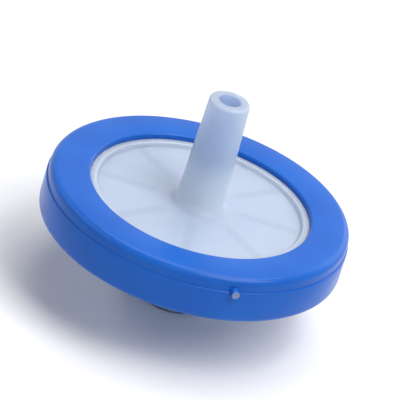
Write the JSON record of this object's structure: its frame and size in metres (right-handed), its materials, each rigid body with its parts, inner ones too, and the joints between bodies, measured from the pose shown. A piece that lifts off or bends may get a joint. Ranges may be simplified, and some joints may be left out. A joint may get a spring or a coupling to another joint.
{
  "type": "syringe filter",
  "caption": "Round disc filter with a bonded membrane, a female luer lock inlet hub and a male luer slip outlet.",
  "frame": {"origin": "centre of the inlet hub's mouth, on which the filter stands", "axes": "+Z along the flow, from the inlet to the outlet; +X through one lug of the luer lock; the gate stub on the ring stands 68 degrees from +X towards -Y"},
  "size_m": [0.03, 0.03, 0.0224],
  "materials": {
    "inlet_housing": "translucent natural polypropylene, satin",
    "membrane": "matt white porous polymer film",
    "outlet_housing": "translucent natural polypropylene, satin",
    "bonding_ring": "moulded blue polypropylene, semi-gloss"
  },
  "bodies": {
    "root": {"inlet_housing": "inlet_housing", "membrane": "membrane", "outlet_housing": "outlet_housing", "bonding_ring": "bonding_ring"}
  },
  "joints": []
}
